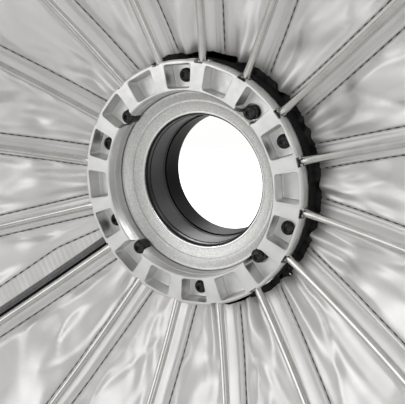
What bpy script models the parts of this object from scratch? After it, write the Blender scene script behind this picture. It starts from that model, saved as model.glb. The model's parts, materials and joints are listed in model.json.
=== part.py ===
"""A folding parabolic octabox for a studio light: a two-part aluminium speedring turns on an adapter cup,
sixteen bowed rods hinge in its rim, and each rod carries one gore of the silver-lined canopy.

Lengths are in metres.  The optical axis is world Y: the mouth opens towards -Y, the light head is on the
+Y side, and the origin is the centre of the adapter's rear face.  Everything is modelled in the axis frame,
whose origin is the centre of the speedring's front face and whose +Z points back to the light head.
"""
import math

import bmesh
import bpy
from mathutils import Matrix, Vector

MM = 0.001
GAP = 0.3 * MM                      # clearance between pieces that touch

# Speedring
ROD_COUNT = 16
PITCH = math.tau / ROD_COUNT
POCKET_PHASE = math.radians(-4.25)  # azimuth of the first pocket, clockwise from the top seen from the mouth
FACE_TO_MOUNT = 71.0 * MM           # ring's front face to the adapter's rear face
RIM_RADIUS = 91.2 * MM
FACE_RADIUS = 90.0 * MM
RING_BORE = 69.0 * MM
CASTING_DEPTH = 19.0 * MM
BACK_RING_DEPTH = 6.0 * MM
BORE_STEP = 8.0 * MM                # depth of a shallow step in the bore, where the second cut ends
POCKET_DEPTH = 13.0 * MM
POCKET_INNER, POCKET_OUTER = 71.0 * MM, 88.0 * MM
POCKET_HALF_ANGLE = math.radians(7.3)
POCKET_CORNER = 2.2 * MM

# Rod hinge, in the rim at the middle of each land
HINGE_RADIUS, HINGE_DEPTH = 89.2 * MM, 7.5 * MM
PIN_RADIUS, PIN_HALF_LENGTH = 1.1 * MM, 5.2 * MM
KNUCKLE_RADIUS, KNUCKLE_HALF_WIDTH = 3.2 * MM, 2.9 * MM
SLOT_HALF_WIDTH = 3.7 * MM
SLOT_FLOOR = 85.2 * MM              # radius of the slot's inner wall
LIP_THICKNESS, LIP_RADIUS = 1.5 * MM, 88.3 * MM
TONGUE_FRONT = 11.2 * MM            # depth of the back ring's tongue, just behind the knuckle

# Rods, bowed along an arc
ROD_RADIUS = 3.0 * MM
ROD_LENGTH = 720.0 * MM
ROD_SPLAY = math.radians(73.4)      # root direction, measured from the axis towards the mouth
ROD_BEND = 1.3156                   # curvature, radians per metre

# Canopy: follows the rods a little way behind them
FABRIC_START, FABRIC_END = 4.0 * MM, 735.0 * MM
FABRIC_THICKNESS = 2.0 * MM
FABRIC_STANDOFF_ROOT, FABRIC_STANDOFF_TIP = 17.0 * MM, 6.0 * MM
FABRIC_STATIONS = 10
GORE_EDGE_GAP = 0.4 * MM

# Closure: a strip of hook tape and a flap, on the lining beside one rod
CLOSURE_GORE = 10
CLOSURE_LIFT, CLOSURE_THICKNESS = 1.4 * MM, 0.8 * MM
HOOK_STRIP_EDGES = 4.6 * MM, 12.4 * MM
FLAP_EDGES = 13.0 * MM, 27.0 * MM

# Adapter cup: a funnel from the shoulder to the lip, a neck, a tube and a mounting flange
SHOULDER_RADIUS, SHOULDER_DEPTH = 66.6 * MM, 17.5 * MM
LIP_EDGE_RADIUS, LIP_EDGE_DEPTH = 52.8 * MM, 23.7 * MM
FUNNEL_SAG = 1.1 * MM
FLANGE_RADIUS, FLANGE_FRONT, FLANGE_BACK = 68.3 * MM, 17.2 * MM, 20.7 * MM
NECK_RADIUS, NECK_BACK = 60.0 * MM, 27.0 * MM
TUBE_RADIUS, TUBE_FRONT = 57.0 * MM, 30.0 * MM
BORE_RADIUS, BORE_FRONT = 51.3 * MM, 24.6 * MM
MOUNT_FLANGE_RADIUS, MOUNT_FLANGE_FRONT = 62.0 * MM, 65.0 * MM

# Sleeves in the bore: front and back depth, front and back bore radius, finish
SLEEVES = {
    "bore_trim_ring": (25.0 * MM, 29.7 * MM, 49.9 * MM, 49.9 * MM, "black"),
    "bore_sleeve_front": (30.0 * MM, 51.9 * MM, 49.7 * MM, 49.4 * MM, "grey"),
    "bore_sleeve_rear": (52.2 * MM, 70.7 * MM, 49.2 * MM, 47.7 * MM, "black"),
}

# Screws: M6 button heads; the retaining screws have a collar that reaches down to the adapter's flange
HEAD_RADIUS, HEAD_HEIGHT, SHANK_RADIUS = 5.25 * MM, 3.3 * MM, 2.85 * MM
SOCKET_RADIUS, SOCKET_DEPTH = 2.3 * MM, 2.0 * MM
SHANK_CLEARANCE = 0.4 * MM
SPOT_FACE_RADIUS = 6.2 * MM
CLAMP_POCKETS, CLAMP_CIRCLE, CLAMP_SEAT = (0, 3, 5, 8, 11, 13), 80.0 * MM, POCKET_DEPTH + 0.1 * MM
RETAINING_POCKETS, RETAINING_CIRCLE = (2, 6, 10, 14), 72.6 * MM
RETAINING_SEAT = FLANGE_FRONT - 0.1 * MM
RETAINING_HEAD = 9.1 * MM           # depth of the undersides of the retaining screws' heads

TURN_STEPS = 48                     # a multiple of the rod count, so that every land is cut alike
SLEEVE_STEPS = 24
CUP_STEPS = 36
SEAT_SIDES = 12


# ---------------------------------------------------------------- scene helpers
def clear_scene():
    for item in list(bpy.data.objects):
        bpy.data.objects.remove(item, do_unlink=True)


def new_collection(name):
    collection = bpy.data.collections.new(name)
    bpy.context.scene.collection.children.link(collection)
    return collection


def material(name, color, roughness, metallic):
    made = bpy.data.materials.new(name)
    made.use_nodes = True
    shader = made.node_tree.nodes["Principled BSDF"]
    shader.inputs["Base Color"].default_value = (*color, 1.0)
    shader.inputs["Roughness"].default_value = roughness
    shader.inputs["Metallic"].default_value = metallic
    return made


def empty(name, parent, matrix):
    made = bpy.data.objects.new(name, None)
    parts.objects.link(made)
    made.parent = parent
    made.matrix_local = matrix
    return made


def add_part(name, mesh, parent, finish):
    made = bpy.data.objects.new(name, mesh)
    parts.objects.link(made)
    made.parent = parent
    if not mesh.materials:
        mesh.materials.append(finish)
    return made


def add_cutter(name, mesh, parent):
    made = bpy.data.objects.new(name, mesh)
    cutters.objects.link(made)
    made.parent = parent
    made.hide_render = True
    made.display_type = "WIRE"
    return made


def boolean(target, other, operation, solver="EXACT", overlapping=False):
    """Cut or join; overlapping says that the other object's own shapes run into each other."""
    modifier = target.modifiers.new(operation.lower(), "BOOLEAN")
    modifier.object = other
    modifier.operation = operation
    modifier.solver = solver
    if solver == "EXACT":
        modifier.use_self = overlapping


def finished_mesh(work, name, sharp=35):
    """Turn a filled bmesh into a mesh with its faces pointing out."""
    bmesh.ops.remove_doubles(work, verts=work.verts, dist=0.001 * MM)
    bmesh.ops.recalc_face_normals(work, faces=work.faces)
    mesh = bpy.data.meshes.new(name)
    work.to_mesh(mesh)
    work.free()
    mesh.shade_smooth()
    mesh.set_sharp_from_angle(angle=math.radians(sharp))
    return mesh


def mesh_from(builder, name, *arguments):
    work = bmesh.new()
    builder(work, *arguments)
    return finished_mesh(work, name)


def evaluated_mesh(item, sharp=35):
    """The mesh that an object and its modifiers make; the object is removed."""
    made = bpy.data.meshes.new_from_object(item.evaluated_get(bpy.context.evaluated_depsgraph_get()))
    work = bmesh.new()
    work.from_mesh(made)
    bpy.data.meshes.remove(made)
    name = item.name
    bpy.data.objects.remove(item)
    return finished_mesh(work, name, sharp)


def turned(name, profile, steps=TURN_STEPS, closed=True):
    """Turn an outline of (radius, depth) points about the axis; an open one starts and ends on the axis."""
    count = len(profile)
    edges = [(i, (i + 1) % count) for i in range(count if closed else count - 1)]
    outline = bpy.data.meshes.new(name)
    outline.from_pydata([(radius, 0.0, depth) for radius, depth in profile], edges, [])
    drawn = bpy.data.objects.new(name, outline)
    cutters.objects.link(drawn)
    screw = drawn.modifiers.new("turn", "SCREW")
    screw.angle = math.tau
    screw.steps = steps
    screw.render_steps = steps
    screw.use_normal_calculate = True
    screw.use_merge_vertices = True
    screw.merge_threshold = 0.001 * MM
    return evaluated_mesh(drawn)


def add_box(work, low, high, placement=Matrix()):
    size = Vector(high) - Vector(low)
    middle = (Vector(high) + Vector(low)) / 2
    scale = Matrix.Diagonal((*size, 1.0))
    bmesh.ops.create_cube(work, size=1.0, matrix=placement @ Matrix.Translation(middle) @ scale)


def add_cylinder(work, radius, front, back, placement=Matrix(), sides=16):
    middle = Matrix.Translation((0, 0, (front + back) / 2))
    bmesh.ops.create_cone(work, cap_ends=True, segments=sides, radius1=radius, radius2=radius,
                          depth=back - front, matrix=placement @ middle)


def add_copies(work, mesh, placements):
    for placement in placements:
        start = len(work.verts)
        work.from_mesh(mesh)
        work.verts.ensure_lookup_table()
        bmesh.ops.transform(work, matrix=placement, verts=work.verts[start:])


def radial_frame(azimuth):
    """Axis frame turned so that +X points outward at an azimuth and +Y runs clockwise."""
    return Matrix.Rotation(azimuth - math.pi / 2, 4, "Z")


def pocket_azimuth(index):
    return POCKET_PHASE + index * PITCH


def rod_azimuth(index):
    return POCKET_PHASE + (index + 0.5) * PITCH


# ---------------------------------------------------------------- speedring
def add_pocket(work, azimuth):
    """A rounded wedge between two radii, open at the front face."""
    outline = []
    corners = [(POCKET_INNER, -1), (POCKET_OUTER, -1), (POCKET_OUTER, 1), (POCKET_INNER, 1)]
    points = [Vector((radius, side * radius * math.tan(POCKET_HALF_ANGLE))) for radius, side in corners]
    arc_steps = 3
    for i, corner in enumerate(points):
        to_last = (points[i - 1] - corner).normalized()
        to_next = (points[(i + 1) % 4] - corner).normalized()
        half_angle = to_last.angle(to_next) / 2
        centre = corner + (to_last + to_next).normalized() * (POCKET_CORNER / math.sin(half_angle))
        start = corner + to_last * (POCKET_CORNER / math.tan(half_angle)) - centre
        turn = math.pi - 2 * half_angle
        for step in range(arc_steps + 1):
            outline.append(centre + Matrix.Rotation(turn * step / arc_steps, 2) @ start)
    placement = radial_frame(azimuth)
    ring = [work.verts.new(placement @ Vector((point.x, point.y, -MM))) for point in outline]
    front = work.faces.new(ring)
    pushed = bmesh.ops.extrude_face_region(work, geom=[front])["geom"]
    moved = [item for item in pushed if isinstance(item, bmesh.types.BMVert)]
    bmesh.ops.translate(work, verts=moved, vec=(0, 0, POCKET_DEPTH + MM))


def add_all_pockets(work):
    for index in range(ROD_COUNT):
        add_pocket(work, pocket_azimuth(index))


def add_rim_boxes(work, boxes):
    """Boxes given by their lowest and highest corners in a rod's radial frame, repeated at every rod."""
    for index in range(ROD_COUNT):
        placement = radial_frame(rod_azimuth(index))
        for low, high in boxes:
            add_box(work, low, high, placement)


def screw_sites():
    """Pocket, circle radius and seat depth of every screw."""
    clamps = [(index, CLAMP_CIRCLE, CLAMP_SEAT) for index in CLAMP_POCKETS]
    retainers = [(index, RETAINING_CIRCLE, RETAINING_SEAT) for index in RETAINING_POCKETS]
    return clamps + retainers


def screw_frame(index, circle, depth=0.0):
    return radial_frame(pocket_azimuth(index)) @ Matrix.Translation((circle, 0, depth))


def add_screw_bores(work, front, back):
    for index, circle, _ in screw_sites():
        add_cylinder(work, SHANK_RADIUS + SHANK_CLEARANCE, front, back, screw_frame(index, circle), SEAT_SIDES)


def add_screw_seats(work, back):
    """Stepped holes: a round seat for the head, open in front, and a clearance hole through its floor."""
    clearance = SHANK_RADIUS + SHANK_CLEARANCE
    for index, circle, depth in screw_sites():
        profile = [(0, -MM), (SPOT_FACE_RADIUS, -MM), (SPOT_FACE_RADIUS, depth), (clearance, depth),
                   (clearance, back), (0, back)]
        seat = turned("seat", profile, SEAT_SIDES, closed=False)
        add_copies(work, seat, [screw_frame(index, circle)])


def make_speedring(parent, finish):
    chamfer = RIM_RADIUS - FACE_RADIUS
    edge_break = 0.6 * MM
    profile = [
        (FACE_RADIUS, 0), (RIM_RADIUS, chamfer), (RIM_RADIUS, CASTING_DEPTH), (RING_BORE - GAP, CASTING_DEPTH),
        (RING_BORE - GAP, BORE_STEP), (RING_BORE, BORE_STEP), (RING_BORE, edge_break), (RING_BORE + edge_break, 0),
    ]
    front = add_part("speedring_front", turned("speedring_front", profile), parent, finish)
    past = RIM_RADIUS + 3 * MM
    behind = CASTING_DEPTH + MM
    half = SLOT_HALF_WIDTH
    slot = [((SLOT_FLOOR, -half, LIP_THICKNESS), (past, half, behind))]
    nick_half = half - 0.2 * MM
    nick = [((LIP_RADIUS, -nick_half, -MM), (past + MM, nick_half, 2 * LIP_THICKNESS))]
    groove_half = PIN_HALF_LENGTH + 0.4 * MM
    pin_room = PIN_RADIUS + GAP
    groove = [((HINGE_RADIUS - pin_room, -groove_half, HINGE_DEPTH - pin_room),
               (HINGE_RADIUS + pin_room, groove_half, behind + MM))]
    cuts = {
        "pocket_cutters": mesh_from(add_all_pockets, "pockets"),
        "screw_seat_cutters": mesh_from(add_screw_seats, "seats", behind),
        "rod_slot_cutters": mesh_from(add_rim_boxes, "slots", slot),
        "pin_groove_cutters": mesh_from(add_rim_boxes, "grooves", groove),
        "lip_nick_cutters": mesh_from(add_rim_boxes, "nicks", nick),
    }
    for name, mesh in cuts.items():
        boolean(front, add_cutter(name, mesh, parent), "DIFFERENCE", "MANIFOLD")

    back_front = CASTING_DEPTH + GAP
    back_back = back_front + BACK_RING_DEPTH
    shoulder = FLANGE_BACK + GAP
    back_profile = [
        (RIM_RADIUS - 0.6 * MM, back_front), (RIM_RADIUS - 0.6 * MM, back_back),
        (NECK_RADIUS + GAP, back_back), (NECK_RADIUS + GAP, shoulder),
        (RING_BORE - GAP, shoulder), (RING_BORE - GAP, back_front),
    ]
    back = add_part("speedring_back", turned("speedring_back", back_profile), parent, finish)
    root = back_front + MM          # the tongues run into the back ring
    tongue = [((SLOT_FLOOR + GAP, GAP - half, TONGUE_FRONT), (HINGE_RADIUS + PIN_RADIUS, half - GAP, root))]
    bar_inner = KNUCKLE_HALF_WIDTH + 0.35 * MM
    bar_front = HINGE_DEPTH + PIN_RADIUS + GAP
    bars = []
    for side in (-1, 1):
        edges = sorted((side * bar_inner, side * (PIN_HALF_LENGTH + 0.1 * MM)))
        bars.append(((HINGE_RADIUS - PIN_RADIUS, edges[0], bar_front),
                     (HINGE_RADIUS + PIN_RADIUS - 0.2 * MM, edges[1], root + 0.2 * MM)))
    tongues = mesh_from(add_rim_boxes, "tongues", tongue + bars)
    boolean(back, add_cutter("tongue_shapes", tongues, parent), "UNION", overlapping=True)
    holes = mesh_from(add_screw_bores, "back_holes", CASTING_DEPTH - MM, back_back + MM)
    boolean(back, add_cutter("back_hole_cutters", holes, parent), "DIFFERENCE")


def screw_mesh(seat_depth, collar):
    """A button-head screw with its seat at depth 0; a collar under the head lifts the head off the seat."""
    shank = CASTING_DEPTH + BACK_RING_DEPTH - seat_depth - 0.5 * MM
    top = -HEAD_HEIGHT - collar
    profile = [
        (0, top), (0.55 * HEAD_RADIUS, top), (0.9 * HEAD_RADIUS, top + 0.4 * HEAD_HEIGHT),
        (HEAD_RADIUS, top + HEAD_HEIGHT), (HEAD_RADIUS, 0), (SHANK_RADIUS, 0), (SHANK_RADIUS, shank), (0, shank),
    ]
    if collar == 0:
        profile.remove((HEAD_RADIUS, 0))
    return turned("button_screw", profile, SEAT_SIDES, closed=False)


def add_socket(work, top):
    add_cylinder(work, SOCKET_RADIUS, top - MM, top + SOCKET_DEPTH, sides=6)


def make_screws(parent, finish):
    kinds = {}
    for depth, underside in ((CLAMP_SEAT, CLAMP_SEAT), (RETAINING_SEAT, RETAINING_HEAD)):
        collar = depth - underside
        kinds[depth] = screw_mesh(depth, collar), mesh_from(add_socket, "hex_socket", -HEAD_HEIGHT - collar)
    names = [f"clamp_screw_{i + 1}" for i in range(len(CLAMP_POCKETS))]
    names += [f"retaining_screw_{i + 1}" for i in range(len(RETAINING_POCKETS))]
    for name, (index, circle, depth) in zip(names, screw_sites()):
        screw, socket = kinds[depth]
        seat = empty(f"{name}_seat", parent, screw_frame(index, circle, depth - GAP))
        made = add_part(name, screw, seat, finish)
        boolean(made, add_cutter(f"{name}_socket", socket, seat), "DIFFERENCE")


def make_collar(parent, finish):
    """The black band round the ring's rim, flaring to meet the canopy's inner edge."""
    inner = RIM_RADIUS + 0.4 * MM
    thickness = 0.9 * MM
    flare = 4.0 * MM
    back = CASTING_DEPTH + BACK_RING_DEPTH + 1.2 * MM
    profile = [
        (inner + thickness, TONGUE_FRONT), (inner + thickness, back - 2 * MM), (inner + flare, back),
        (inner + flare - 0.4 * MM, back + thickness), (inner, back - MM), (inner, TONGUE_FRONT),
    ]
    add_part("ring_collar", turned("ring_collar", profile), parent, finish)


# ---------------------------------------------------------------- adapter
def make_adapter(parent, finishes):
    """The cup that the ring turns on, a funnel in front and a tube behind, and the sleeves in its bore."""
    funnel_steps = 4
    lip = Vector((LIP_EDGE_RADIUS, LIP_EDGE_DEPTH))
    shoulder = Vector((SHOULDER_RADIUS, SHOULDER_DEPTH))
    funnel = []
    for i in range(funnel_steps + 1):
        along = i / funnel_steps
        point = lip.lerp(shoulder, along)
        funnel.append((point.x, point.y + FUNNEL_SAG * math.sin(math.pi * along)))
    profile = [
        (FLANGE_RADIUS, FLANGE_FRONT), (FLANGE_RADIUS, FLANGE_BACK), (NECK_RADIUS, FLANGE_BACK),
        (NECK_RADIUS, NECK_BACK), (TUBE_RADIUS, TUBE_FRONT), (TUBE_RADIUS, MOUNT_FLANGE_FRONT),
        (MOUNT_FLANGE_RADIUS, MOUNT_FLANGE_FRONT), (MOUNT_FLANGE_RADIUS, FACE_TO_MOUNT),
        (BORE_RADIUS, FACE_TO_MOUNT), (BORE_RADIUS, BORE_FRONT), (LIP_EDGE_RADIUS - MM, LIP_EDGE_DEPTH - 0.1 * MM),
    ]
    add_part("adapter_cup", turned("adapter_cup", profile + funnel, CUP_STEPS), parent, finishes["cast"])
    outer = BORE_RADIUS - GAP
    for name, (front, back, front_bore, back_bore, finish) in SLEEVES.items():
        outline = [(outer, front), (outer, back), (back_bore, back), (front_bore, front)]
        add_part(name, turned(name, outline, SLEEVE_STEPS), parent, finishes[finish])


# ---------------------------------------------------------------- rods and canopy, in a rod's hinge frame
def rod_point(along):
    """Centre line of the bowed rod, from the hinge pin at 0: +X outward, -Z to the mouth."""
    turned = ROD_SPLAY - ROD_BEND * along
    out = (math.cos(turned) - math.cos(ROD_SPLAY)) / ROD_BEND
    forward = (math.sin(ROD_SPLAY) - math.sin(turned)) / ROD_BEND
    return Vector((out, 0, -forward))


def behind_rod(along):
    """Unit vector square to the rod, pointing away from the bowl."""
    turned = ROD_SPLAY - ROD_BEND * along
    return Vector((math.cos(turned), 0, math.sin(turned)))


def fabric_point(along, across, lift=0.0):
    """A point on the lining: across is the distance from the rod's plane, clockwise positive.

    The cloth is stretched flat between neighbouring rods, so each gore is a shallow V with its fold on the rod.
    """
    standoff = FABRIC_STANDOFF_ROOT + (FABRIC_STANDOFF_TIP - FABRIC_STANDOFF_ROOT) * along / FABRIC_END
    fold = rod_point(along) + behind_rod(along) * (standoff - lift)
    drop = abs(across) * math.tan(PITCH / 2)
    return Vector((fold.x - drop, across, fold.z))


def half_width(along):
    """Distance from the rod's plane to the middle of the panel between two rods."""
    radius = HINGE_RADIUS + fabric_point(along, 0).x
    return radius * math.sin(PITCH / 2) * math.cos(PITCH / 2)


def sheet_mesh(name, edges_at, lift=0.0):
    """An open sheet along the rod, facing away from the bowl; edges_at gives the distances across."""
    work = bmesh.new()
    rows = []
    for i in range(FABRIC_STATIONS):
        along = FABRIC_START + (FABRIC_END - FABRIC_START) * i / (FABRIC_STATIONS - 1)
        rows.append([work.verts.new(fabric_point(along, across, lift)) for across in edges_at(along)])
    for near, far in zip(rows, rows[1:]):
        for i in range(len(near) - 1):
            work.faces.new((near[i], near[i + 1], far[i + 1], far[i]))
    work.normal_update()
    if sum(face.normal.dot(behind_rod(0)) for face in work.faces) < 0:
        bmesh.ops.reverse_faces(work, faces=work.faces)
    mesh = bpy.data.meshes.new(name)
    work.to_mesh(mesh)
    work.free()
    mesh.shade_smooth()
    return mesh


def thicken(item, thickness):
    """Grow a sheet away from the bowl."""
    modifier = item.modifiers.new("thickness", "SOLIDIFY")
    modifier.thickness = thickness
    modifier.offset = 1.0


def gore_edges(along):
    edge = half_width(along) - GORE_EDGE_GAP / 2
    return (-edge, 0.0, edge)


def flap_edges(along):
    near, far = FLAP_EDGES
    return near, min(far, half_width(along) - MM)


def rod_mesh():
    """The bowed bar without its knuckle and pin."""
    curve = bpy.data.curves.new("rod_line", "CURVE")
    curve.dimensions = "3D"
    curve.bevel_depth = ROD_RADIUS
    curve.bevel_resolution = 1
    curve.use_fill_caps = True
    points = 9
    spline = curve.splines.new("POLY")
    spline.points.add(points - 1)
    for i, point in enumerate(spline.points):
        point.co = (*rod_point(ROD_LENGTH * i / (points - 1)), 1.0)
    drawn = bpy.data.objects.new("rod_line", curve)
    cutters.objects.link(drawn)
    return evaluated_mesh(drawn, sharp=65)


def add_cross_cylinder(work, radius, half_length, sides):
    add_cylinder(work, radius, -half_length, half_length, Matrix.Rotation(math.pi / 2, 4, "X"), sides)


def make_rods_and_canopy(parent, finishes):
    rod = rod_mesh()
    knuckle = mesh_from(add_cross_cylinder, "knuckle", KNUCKLE_RADIUS, KNUCKLE_HALF_WIDTH, 10)
    pin = mesh_from(add_cross_cylinder, "pin", PIN_RADIUS, PIN_HALF_LENGTH, 6)
    gore = sheet_mesh("gore", gore_edges)
    hinge = Matrix.Translation((HINGE_RADIUS, 0, HINGE_DEPTH))
    for index in range(ROD_COUNT):
        number = f"{index + 1:02d}"
        frame = empty(f"rod_hinge_{number}", parent, radial_frame(rod_azimuth(index)) @ hinge)
        made = add_part(f"rod_{number}", rod, frame, finishes["rod"])
        boolean(made, add_cutter(f"knuckle_shape_{number}", knuckle, frame), "UNION")
        boolean(made, add_cutter(f"pin_shape_{number}", pin, frame), "UNION")
        thicken(add_part(f"gore_{number}", gore, frame, finishes["lining"]), FABRIC_THICKNESS)
        if index == CLOSURE_GORE:
            strip = sheet_mesh("hook_strip", lambda along: HOOK_STRIP_EDGES, CLOSURE_LIFT)
            flap = sheet_mesh("closing_flap", flap_edges, CLOSURE_LIFT)
            thicken(add_part("hook_strip", strip, frame, finishes["grey"]), CLOSURE_THICKNESS)
            thicken(add_part("closing_flap", flap, frame, finishes["lining"]), CLOSURE_THICKNESS)


# ---------------------------------------------------------------- build
clear_scene()
parts = new_collection("octabox")
cutters = new_collection("cutters")
axis_frame = empty("optical_axis", None,
                   Matrix.Translation((0, -FACE_TO_MOUNT, 0)) @ Matrix.Rotation(-math.pi / 2, 4, "X"))
finishes = {
    "machined": material("satin_aluminium", (0.78, 0.78, 0.77), 0.32, 1.0),
    "cast": material("cast_aluminium", (0.72, 0.72, 0.71), 0.5, 1.0),
    "rod": material("rod_steel", (0.7, 0.7, 0.69), 0.3, 1.0),
    "lining": material("silver_lining", (0.75, 0.75, 0.75), 0.4, 0.8),
    "black": material("black_finish", (0.02, 0.02, 0.02), 0.6, 0.0),
    "grey": material("dark_grey_finish", (0.1, 0.1, 0.1), 0.6, 0.0),
    "screw": material("black_screw", (0.015, 0.015, 0.015), 0.35, 0.6),
}
make_adapter(axis_frame, finishes)
make_speedring(axis_frame, finishes["machined"])
make_screws(axis_frame, finishes["screw"])
make_collar(axis_frame, finishes["black"])
make_rods_and_canopy(axis_frame, finishes)
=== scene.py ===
"""The octabox's looks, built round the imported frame.

The machined ring, the adapter, the screws and the rods are replaced by finely turned and cut versions of
themselves.  The canopy is cut as one gore for each rod: silver lining inside, black nylon outside, creased
where the cloth is pulled to the ring.  Lengths are in metres.  World Y is the optical axis, and the bowl
opens to -Y.  Depths along the axis are measured backwards from the ring's front face.
"""
import json
import math
import random

import bmesh
import bpy
import numpy as np
from mathutils import Matrix, Vector


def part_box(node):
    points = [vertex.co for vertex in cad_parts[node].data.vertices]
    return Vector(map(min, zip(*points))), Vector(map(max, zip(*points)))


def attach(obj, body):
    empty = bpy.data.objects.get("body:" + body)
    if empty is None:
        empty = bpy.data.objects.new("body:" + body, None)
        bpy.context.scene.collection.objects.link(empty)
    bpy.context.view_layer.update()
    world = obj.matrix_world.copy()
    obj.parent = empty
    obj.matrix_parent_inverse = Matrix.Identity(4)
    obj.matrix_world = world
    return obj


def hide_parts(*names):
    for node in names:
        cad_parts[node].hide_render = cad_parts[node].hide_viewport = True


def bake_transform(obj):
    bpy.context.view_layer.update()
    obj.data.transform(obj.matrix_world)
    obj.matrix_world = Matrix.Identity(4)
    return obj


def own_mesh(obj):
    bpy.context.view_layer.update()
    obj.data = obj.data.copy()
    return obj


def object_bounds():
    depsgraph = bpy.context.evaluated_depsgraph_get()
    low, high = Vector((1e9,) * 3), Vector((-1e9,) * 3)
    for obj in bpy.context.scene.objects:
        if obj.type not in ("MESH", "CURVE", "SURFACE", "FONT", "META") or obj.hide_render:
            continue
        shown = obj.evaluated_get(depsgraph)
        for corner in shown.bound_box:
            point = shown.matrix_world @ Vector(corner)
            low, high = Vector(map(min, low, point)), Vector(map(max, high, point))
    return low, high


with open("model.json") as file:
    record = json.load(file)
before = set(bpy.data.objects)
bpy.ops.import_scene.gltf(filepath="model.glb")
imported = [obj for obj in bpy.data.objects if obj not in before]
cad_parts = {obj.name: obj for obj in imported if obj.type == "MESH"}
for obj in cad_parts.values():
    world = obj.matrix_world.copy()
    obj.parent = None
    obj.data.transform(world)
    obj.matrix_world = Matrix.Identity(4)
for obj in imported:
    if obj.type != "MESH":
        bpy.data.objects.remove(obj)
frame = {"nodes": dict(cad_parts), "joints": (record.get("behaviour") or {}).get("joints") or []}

CAD_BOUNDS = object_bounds()
MM = 0.001

# ---------------------------------------------------------------- sizes read from the frame
joints = {joint["name"]: joint for joint in frame["joints"]}
ring_low, ring_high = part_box("speedring_front")
FACE_Y = ring_low.y
RIM_RADIUS = ring_high.x
CASTING_DEPTH = ring_high.y - ring_low.y
first_hinge = Vector(joints["fold_01"]["pos_m"])
HINGE_RADIUS = math.hypot(first_hinge.x, first_hinge.z)
HINGE_DEPTH = first_hinge.y - FACE_Y
ROD_COUNT = sum(name.startswith("fold_") for name in joints)
PITCH = math.tau / ROD_COUNT
FIRST_ROD = math.atan2(first_hinge.x, first_hinge.z)

# Sizes that the model's design states: ring, pockets, rod slots and screws
FACE_RADIUS = RIM_RADIUS - 1.2 * MM
RING_BORE = 69.0 * MM
BORE_STEP = 8.0 * MM                # depth of a shallow step in the bore
POCKET_DEPTH = 13.0 * MM
POCKET_INNER, POCKET_OUTER = 71.0 * MM, 88.0 * MM
POCKET_HALF_ANGLE = math.radians(7.3)
POCKET_CORNER = 2.2 * MM
SLOT_HALF_WIDTH, SLOT_FLOOR = 3.7 * MM, 85.2 * MM
LIP_THICKNESS, LIP_RADIUS = 1.5 * MM, 89.2 * MM
COLLAR_RADIUS = RIM_RADIUS + 1.5 * MM
PIN_RADIUS, PIN_HALF_LENGTH = 1.1 * MM, 5.2 * MM
KNUCKLE_RADIUS, KNUCKLE_HALF_WIDTH = 3.2 * MM, 2.9 * MM
HEAD_RADIUS, HEAD_HEIGHT, SHANK_RADIUS = 5.25 * MM, 3.3 * MM, 2.85 * MM
SEAT_RADIUS = 6.3 * MM
CLAMP_POCKETS, CLAMP_CIRCLE, CLAMP_SEAT = (0, 3, 5, 8, 11, 13), 80.0 * MM, 13.1 * MM
RETAINING_POCKETS, RETAINING_CIRCLE, RETAINING_SEAT = (2, 6, 10, 14), 72.6 * MM, 17.1 * MM
RETAINING_HEAD = 9.1 * MM           # depth of the undersides of the retaining screws' heads
SOCKET_RADIUS, SOCKET_DEPTH = 2.3 * MM, 2.4 * MM

# Adapter
BORE_RADIUS, BORE_FRONT = 51.3 * MM, 24.6 * MM
FACE_TO_MOUNT = 71.0 * MM
FLANGE_RADIUS, FLANGE_FRONT, FLANGE_BACK = 68.3 * MM, 17.2 * MM, 20.7 * MM
NECK_RADIUS, NECK_BACK = 60.0 * MM, 27.0 * MM
TUBE_RADIUS, TUBE_FRONT = 57.0 * MM, 30.0 * MM
MOUNT_FLANGE_RADIUS, MOUNT_FLANGE_FRONT = 62.0 * MM, 65.0 * MM
LIP_EDGE, SHOULDER = Vector((52.8, 23.7)) * MM, Vector((66.6, 17.5)) * MM      # radius and depth
FUNNEL_SAG = 1.1 * MM

# Rods
ROD_RADIUS, ROD_LENGTH = 3.0 * MM, 720.0 * MM
ROD_SPLAY = math.radians(73.4)      # root direction, measured from the axis towards the mouth
ROD_BEND = 1.3156                   # curvature, radians per metre

# Canopy
FABRIC_START, FABRIC_END = 4.0 * MM, 735.0 * MM
STANDOFF_ROOT, STANDOFF_TIP = 17.0 * MM, 6.0 * MM
CLOTH_THICKNESS = 0.5 * MM
SLEEVE_HALF_WIDTH = 8.4 * MM        # of the band sewn behind each rod
STITCH_OFFSET = 8.8 * MM
CLOSURE_RIB = 10                    # index of the rib beside which the canopy is closed
FLAP_INNER, FLAP_OUTER = 12.8 * MM, 27.0 * MM
FLAP_RIB = 4.6 * MM                 # spacing of the flap's cross ribs
QUIET_ZONE = FLAP_OUTER + 2 * MM    # the lining lies flat under the flap

TURN_STEPS = 192
AXIS = Matrix.Translation((0, FACE_Y, 0)) @ Matrix.Rotation(-math.pi / 2, 4, "X")


# ---------------------------------------------------------------- places
def radial_frame(azimuth):
    """Axis frame turned so that +X points outward at an azimuth and +Y runs clockwise."""
    return Matrix.Rotation(azimuth - math.pi / 2, 4, "Z")


def pocket_azimuth(index):
    return FIRST_ROD + (index - 0.5) * PITCH


def rod_azimuth(index):
    return FIRST_ROD + index * PITCH


def hinge_frame(index):
    return AXIS @ radial_frame(rod_azimuth(index)) @ Matrix.Translation((HINGE_RADIUS, 0, HINGE_DEPTH))


def screw_sites():
    """Pocket, circle radius and seat depth of every screw."""
    clamps = [(index, CLAMP_CIRCLE, CLAMP_SEAT) for index in CLAMP_POCKETS]
    return clamps + [(index, RETAINING_CIRCLE, RETAINING_SEAT) for index in RETAINING_POCKETS]


def screw_frame(index, circle, depth=0.0):
    return radial_frame(pocket_azimuth(index)) @ Matrix.Translation((circle, 0, depth))


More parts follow.
